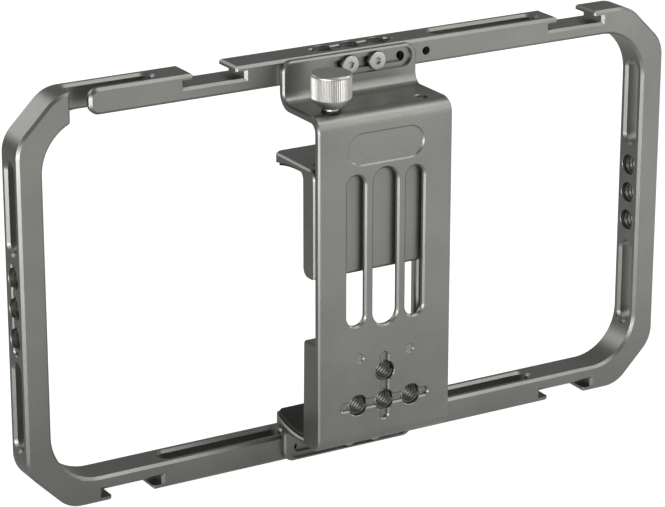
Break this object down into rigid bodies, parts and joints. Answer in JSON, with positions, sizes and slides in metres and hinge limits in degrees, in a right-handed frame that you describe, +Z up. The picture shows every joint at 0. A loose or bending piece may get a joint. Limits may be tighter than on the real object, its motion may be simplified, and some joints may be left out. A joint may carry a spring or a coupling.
{
  "type": "phone cage",
  "caption": "Grey milled phone cage: a chamfered window frame with cold shoes, strap slots and threaded holes, and a sliding bracket whose knurled knob drives a phone clamp.",
  "frame": {"origin": "middle of the bounding box in X and Y, level with the frame's underside", "axes": "+X along the frame's width to the viewer's right, +Y from the clamp plate towards the phone and the frame's back, +Z up along the jaw's travel"},
  "size_m": [0.217, 0.0328, 0.1229],
  "materials": {
    "anodised_grey": "bead-blasted, then anodised a warm grey",
    "satin_nickel": "turned and satin nickel plated",
    "bright_steel": "ground stainless steel",
    "spring_steel": "blued spring steel",
    "black_silicone": "matt moulded silicone",
    "black_nylon": "punched nylon sheet"
  },
  "bodies": {
    "frame": {"cage_frame": "anodised_grey", "upper_left_screw": "satin_nickel", "upper_right_screw": "satin_nickel", "lower_left_screw": "satin_nickel", "lower_right_screw": "satin_nickel"},
    "bracket": {"clamp_bracket": "anodised_grey", "guide_rod": "bright_steel", "left_pin": "bright_steel", "right_pin": "bright_steel", "hook_edge_pad": "black_silicone", "block_face_pad": "black_silicone"},
    "jaw": {"movable_jaw": "anodised_grey", "jaw_edge_pad": "black_silicone", "jaw_face_pad": "black_silicone"},
    "screw": {"clamp_knob": "satin_nickel", "lead_screw": "bright_steel", "knob_washer": "black_nylon", "clip_washer": "bright_steel", "retaining_clip": "spring_steel"}
  },
  "joints": [
    {"name": "bracket_slide", "type": "slide", "parent": "frame", "child": "bracket", "axis": [1, 0, 0], "range_m": [-0.0081, 0.0046]},
    {"name": "knob_turn", "type": "hinge", "parent": "bracket", "child": "screw", "pos_m": [-0.019, -0.0105, 0.118], "axis": [0, 0, 1], "range_deg": [-6978.86, 9807.43]},
    {"name": "jaw_slide", "type": "slide", "parent": "bracket", "child": "jaw", "axis": [0, 0, 1], "range_m": [-0.019, 0.0135]}
  ],
  "couplings": [
    {"joint": "knob_turn", "follows": "jaw_slide", "rad_per_m": -8976}
  ]
}
